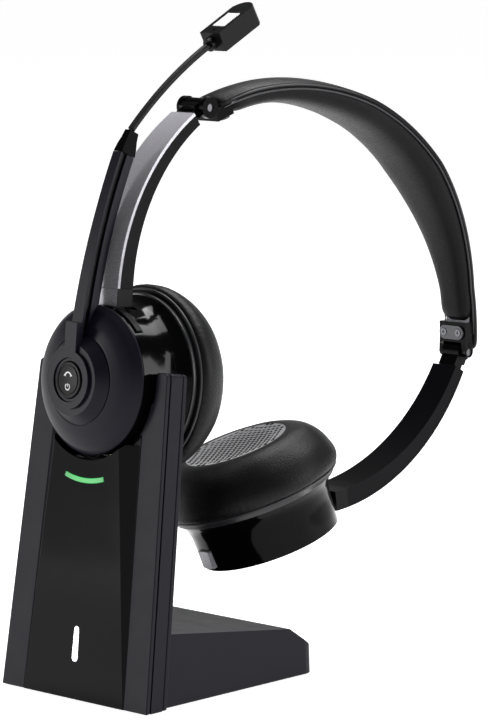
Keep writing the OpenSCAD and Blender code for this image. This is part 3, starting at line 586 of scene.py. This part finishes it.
def make_cushion(name, where, body, replaced):
    """Foam under leatherette: a dished face, a round shoulder, gathers at the seam."""
    roll = smooth_path([(21.5, ear_face(21.5)), (24.4, PLATE_Z - 18.6), (28.6, PLATE_Z - 16.4),
                        (32.4, PLATE_Z - 12.2), (34.6, PLATE_Z - 7.6), (CUSHION_R, PLATE_Z - 4.4),
                        (34.7, PLATE_Z - 2.2), (33.3, PLATE_Z - 1.1), (31.4, PLATE_Z - 0.25)], 6)
    face = [(radius, ear_face(radius)) for radius in range(0, 21, 2)]
    bm = lathe(face + roll + [(24.0, PLATE_Z - 0.1), (0, PLATE_Z - 0.1)], 240)
    shoulder = 22
    for vert in bm.verts:
        radius = sqrt(vert.co.x ** 2 + vert.co.y ** 2) / MM
        if radius < shoulder:
            continue
        around = atan2(vert.co.y, vert.co.x)
        depth = PLATE_Z - vert.co.z / MM
        near_seam = eased((11 - depth) / 9) * eased(depth / 1.2)
        seed = Vector((cos(around) * 3, sin(around) * 3, 0))
        gathers = sin(around * 96 + 4 * noise.noise(seed * 2)) * (0.5 + noise.noise(seed * 5))
        slow = noise.noise(vert.co * 90)
        push = 0.16 * near_seam * gathers + 0.3 * slow * eased((radius - shoulder) / 4) * eased(depth / 3)
        vert.co += vert.normal * push * MM
    bmesh.ops.transform(bm, matrix=where, verts=bm.verts)
    cushion = finish_piece(name, bm, "ear_leather", body, replaced, 60)
    # the middle of the face takes the pale ear_face finish, its painted sheen
    back = where.inverted()
    faced(cushion, "ear_face", lambda centre, normal: (back @ centre).xy.length < FACE_R * MM
          and (back @ centre).z < (PLATE_Z - 10) * MM)
    make_perforations(name + "_holes", where, body)
    turned(name + "_bead", arc(33.35, PLATE_Z - 0.75, 0.55, 0, 360, 12), where, "thread", body, steps=160)


def make_perforations(name, where, body):
    """Staggered rows of round holes in the leatherette, as painted shade: black discs a hair above its face
    stand in for the shadow inside each hole.
    """
    bm = bmesh.new()
    row_pitch, hole_pitch, hole_r = 2.15, 2.5, 0.88
    for row in range(-9, 10):
        for column in range(-9, 10):
            x, y = (column + 0.5 * (row % 2)) * hole_pitch, row * row_pitch
            radius = sqrt(x * x + y * y)
            if radius < HOLES_R:
                seat = move(x, y, ear_face(radius) - 0.04)
                bmesh.ops.create_circle(bm, cap_ends=True, segments=12, radius=hole_r * MM, matrix=seat)
    bmesh.ops.recalc_face_normals(bm, faces=bm.faces)
    for face in bm.faces:
        if face.normal.z > 0:
            face.normal_flip()
    bmesh.ops.transform(bm, matrix=where, verts=bm.verts)
    finish_piece(name, bm, "hole_painted_shade", body)


def make_talk_cup():
    """The cup with the boom: outlines are (radius, height) in the cup's frame."""
    rim = arc(26.75, 0.0, 0.75, -90, 60, 6)
    dome = smooth_path([(26.6, 1.35), (24.8, 3.15), (21.0, 5.0), (17.0, 6.25)], 6)
    disc = [(6.85, 2.2), (15.5, 2.2), (23.5, 0.8), (25.3, -0.75)] + rim + dome + [
        (16.7, 6.3), (16.5, 6.1), (8.0, 6.1), (8.0, 11.1), (7.85, 11.25), (6.95, 11.25), (6.85, 11.1),
        (6.85, 2.2)]
    turned("disc", disc, TALK, "soft_touch", "talk_cup", ["talk_disc"])
    button = ([(0, 5.0), (6.7, 5.0), (6.7, 11.5)] + arc(6.35, 11.6, 0.35, 0, 90, 4)
              + [(5.75, 11.95), (5.65, 11.65), (5.25, 11.65), (5.15, 11.95), (4.9, 12.0), (0, 11.9)])
    turned("call_button_piece", button, TALK, "satin_black", "call_button", ["call_button"], smooth=35)
    make_icons()
    softened("talk_shell", "talk_cup", "gloss_black", 0.2)
    softened("talk_plate", "talk_cup", "plate_dark", 0.3)
    softened("volume_rocker", "volume_rocker", "satin_black", 0.3)
    make_cushion("talk_cushion_piece", TALK, "talk_cup", ["talk_cushion"])
    for part, finish in (("talk_driver", "inlet_metal"), ("talk_board", "circuit"), ("battery", "inlet_metal"),
                         ("charge_contacts", "gold"), ("talk_pin", "steel")):
        refinish(part, finish)


def make_icons():
    """A handset over a power sign, printed on the call button: thin tubes pressed nearly flat."""
    top = 12.02
    bm = bmesh.new()
    handset = [(TALK @ move(x, y + 1.0, top)).translation for x, y in arc(0, 0, 1.75, 168, 12, 14)]
    tube(bm, handset, lambda t: 0.27 + 0.42 * abs(2 * t - 1) ** 6, 8, TALK.col[2].xyz)
    ring = [(TALK @ move(x, y - 2.5, top)).translation for x, y in arc(0, 0, 1.15, 125, 415, 20)]
    tube(bm, ring, 0.2, 8, TALK.col[2].xyz)
    bar = [(TALK @ move(0, y, top)).translation for y in (-2.45, -1.9, -1.3)]
    tube(bm, bar, 0.2, 8, TALK.col[2].xyz)
    normal = TALK.col[2].xyz.normalized()
    level = (TALK @ move(0, 0, top)).translation
    for vert in bm.verts:
        vert.co -= normal * normal.dot(vert.co - level) * 0.75
    bmesh.ops.recalc_face_normals(bm, faces=bm.faces)
    finish_piece("icons", bm, "icon_white", "call_button")


def make_listen_cup():
    softened("listen_shell", "listen_cup", "gloss_black", 0.18)
    softened("listen_plate", "listen_cup", "plate_dark", 0.3)
    softened("listen_button", "listen_button", "arm_silver", 0.4)
    make_cushion("listen_cushion_piece", LISTEN, "listen_cup", ["listen_cushion"])
    for part, finish in (("listen_driver", "inlet_metal"), ("listen_pin", "steel")):
        refinish(part, finish)


# ---------------------------------------------------------------------------
# Boom and microphone
# ---------------------------------------------------------------------------
def make_boom_tip():
    """A slim cap: the boom's bar drawn in towards the gooseneck."""
    bm = cad_copy("boom_tip")
    centre = at(0, *BOOM_C)
    middle = BOOM_R - BOOM_T / 2
    for vert in bm.verts:
        offset = vert.co - centre
        angle = atan2(offset.z, offset.y)
        along = (BOOM_END - angle * 180 / pi) / TIP_LENGTH
        size = 0.94 - 0.34 * eased(along)
        radius = middle + (offset.yz.length / MM - middle) * size
        vert.co = at(vert.co.x / MM * size, BOOM_C[0] + radius * cos(angle),
                     BOOM_C[1] + radius * sin(angle))
    rounding(finish_piece("boom_tip_cap", bm, "gloss_black", "boom", ["boom_tip"], smooth=32), 0.6, 4)


def make_boom():
    softened("boom_arm", "boom", "soft_touch", 0.25)
    softened("boom_channel", "boom", "gloss_black", 0.1)
    softened("boom_cover", "boom", "soft_touch", 0.22)
    make_boom_tip()
    chord = Vector(NECK_TO) - Vector(NECK_FROM)
    half = atan2(chord.y, chord.x) - radians(MIC_SLOPE)
    radius = chord.length / 2 / sin(half)
    centre = (NECK_TO[0] + radius * sin(radians(MIC_SLOPE)), NECK_TO[1] - radius * cos(radians(MIC_SLOPE)))
    start = radians(MIC_SLOPE) + pi / 2
    steps = 150                        # every third ring is drawn in a little, which ribs the neck
    path = [at(0, centre[0] + radius * cos(start + 2 * half * i / steps),
               centre[1] + radius * sin(start + 2 * half * i / steps)) for i in range(steps + 1)]
    bm = bmesh.new()
    tube(bm, path, lambda t: NECK_D / 2 - 0.05 * (round(t * steps) % 3 == 0), 20)
    bmesh.ops.recalc_face_normals(bm, faces=bm.faces)
    finish_piece("gooseneck_piece", bm, "neck_rubber", "mic", ["gooseneck"], 60)
    softened("mic_housing", "mic", "satin_black", 0.7)
    softened("mic_window", "mic", "mic_white", 0.3)
    refinish("mic_capsule", "inlet_metal")


# ---------------------------------------------------------------------------
# Arms, hinges and band
# ---------------------------------------------------------------------------
def make_arms():
    for part, body, finish, width in (
            ("talk_link", "talk_link", "satin_black", 0.3),
            ("arm_1_end", "arm_1", "satin_black", 0.35), ("arm_1_shell", "arm_1", "satin_arm", 0.3),
            ("arm_1_cover", "arm_1", "arm_silver", 0.35), ("hinge_1_leaf", "leaf_1", "gloss_black", 0.3),
            ("hinge_2_leaf", "leaf_2", "gloss_black", 0.3), ("arm_2_shell", "arm_2", "satin_arm", 0.7),
            ("arm_2_cover", "arm_2", "satin_arm", 0.5), ("arm_2_end", "arm_2", "satin_black", 0.35),
            ("listen_link", "listen_link", "gloss_black", 0.12), ("band_end_1", "band", "gloss_black", 0.35),
            ("band_end_2", "band", "gloss_black", 0.35), ("hinge_plates", "band", "hinge_grey", 0.15),
            ("hinge_screws", "band", "steel", 0.08)):
        piece = softened(part, body, finish, width)
        if part == "arm_1_end":
            outward = TALK.col[2].xyz
            faced(piece, "arm_silver", lambda centre, normal: normal.dot(outward) > 0.6)
    for part in ("arm_1_strip", "arm_2_strip", "band_core", "hinge_pins"):
        refinish(part, "steel")


def closing(degrees, start, end, length):
    """1 along a strip, falling in a quarter round to 0 over its last length degrees at both ends."""
    inside = min(degrees - start, end - degrees) / length
    inside = max(0.0, min(1.0, inside))
    return sqrt(max(0.0, 1 - (1 - inside) ** 2))


def make_band():
    """Leatherette cover and pad: sections run from -1 to 1 across, and are then given their width."""
    crown = 14
    outer = [(-1 + 2 * i / crown, BAND_R + 1.1 + 1.5 * (1 - (-1 + 2 * i / crown) ** 2))
             for i in range(crown + 1)]
    edge = [(1 + 0.05 * cos(radians(a)), BAND_R + 0.1 + 0.95 * sin(radians(a))) for a in range(60, -91, -30)]
    under = [(x, BAND_R - 0.9) for x in (0.6, 0.2, -0.2, -0.6)]
    outline = outer + edge + under + [(-x, r) for x, r in reversed(edge)]

    def cover_shape(degrees, x, radius):
        shut = closing(degrees, COVER_FROM, COVER_TO, 2.2)
        half = band_width(degrees) * (0.72 + 0.28 * shut) - 0.6
        return x * half, BAND_R + 0.3 + (radius - BAND_R - 0.3) * (0.35 + 0.65 * shut)

    band_sweep("band_leather", outline, COVER_FROM, COVER_TO, 150, cover_shape, "band_leather", "band",
               ["band_cover"])
    count = 28
    bulge = [(-cos(pi * i / count), -sin(pi * i / count)) for i in range(count + 1)]
    section = [(abs(x) ** 0.8 * (1 if x > 0 else -1), PAD_BACK + abs(y) ** 0.72 * -1) for x, y in bulge]
    section += [(0.9, BAND_R - 1.1), (0.4, BAND_R - 1.0), (-0.4, BAND_R - 1.0), (-0.9, BAND_R - 1.1)]

    def pad_shape(degrees, x, radius):
        shut = closing(degrees, PAD_FROM, PAD_TO, 3.5)
        thick = 6.9 - 2.2 * eased((abs(degrees - CROWN_A) - 18) / 26)
        depth = max(0.0, PAD_BACK - radius)
        half = (band_width(degrees) - 0.9) * (0.55 + 0.45 * shut)
        slow = 0.25 * noise.noise(Vector((x * 0.8, degrees * 0.09, 3.0)))
        return (x * half,
                min(radius, PAD_BACK) - depth * (thick - 1) * (0.15 + 0.85 * shut) + slow * depth * shut)

    pad = band_sweep("band_cushion", section, PAD_FROM, PAD_TO, 120, pad_shape, "band_leather", "band",
                     ["band_pad"])
    make_band_seams()


def make_band_seams():
    """Two piping cords along each side of the band, and a row of stitches between them."""
    bm = bmesh.new()
    cords = ((BAND_R - 1.3, PAD_FROM - 3, PAD_TO + 3),
             (BAND_R + 0.25, COVER_FROM + 3, COVER_TO - 3))
    steps = 110
    for side in (-1, 1):
        for radius, start, end in cords:
            path = [band_point(start + (end - start) * i / steps,
                               side * (band_width(start + (end - start) * i / steps) - 0.35), radius)
                    for i in range(steps + 1)]
            tube(bm, path, lambda t: 0.42 * min(1, 12 * min(t, 1 - t) + 0.3), 8)
    bmesh.ops.recalc_face_normals(bm, faces=bm.faces)
    finish_piece("band_piping", bm, "thread", "band", smooth=60)
    bm = bmesh.new()
    pitch = 1.35
    for side in (-1, 1):
        degrees = COVER_FROM + 6
        while degrees < COVER_TO - 6:
            x = side * (band_width(degrees) - 0.62)
            path = [band_point(degrees + step, x + side * rise, BAND_R - 0.35 + 0.12 * rise)
                    for step, rise in ((0, -0.3), (0.2, 0.1), (0.6, 0.1), (0.8, -0.3))]
            tube(bm, path, 0.17, 6)
            degrees += pitch
    bmesh.ops.recalc_face_normals(bm, faces=bm.faces)
    finish_piece("band_stitches", bm, "thread", "band", smooth=60)


make_camera()
make_studio()
make_stand()
make_talk_cup()
make_listen_cup()
make_boom()
make_arms()
make_band()
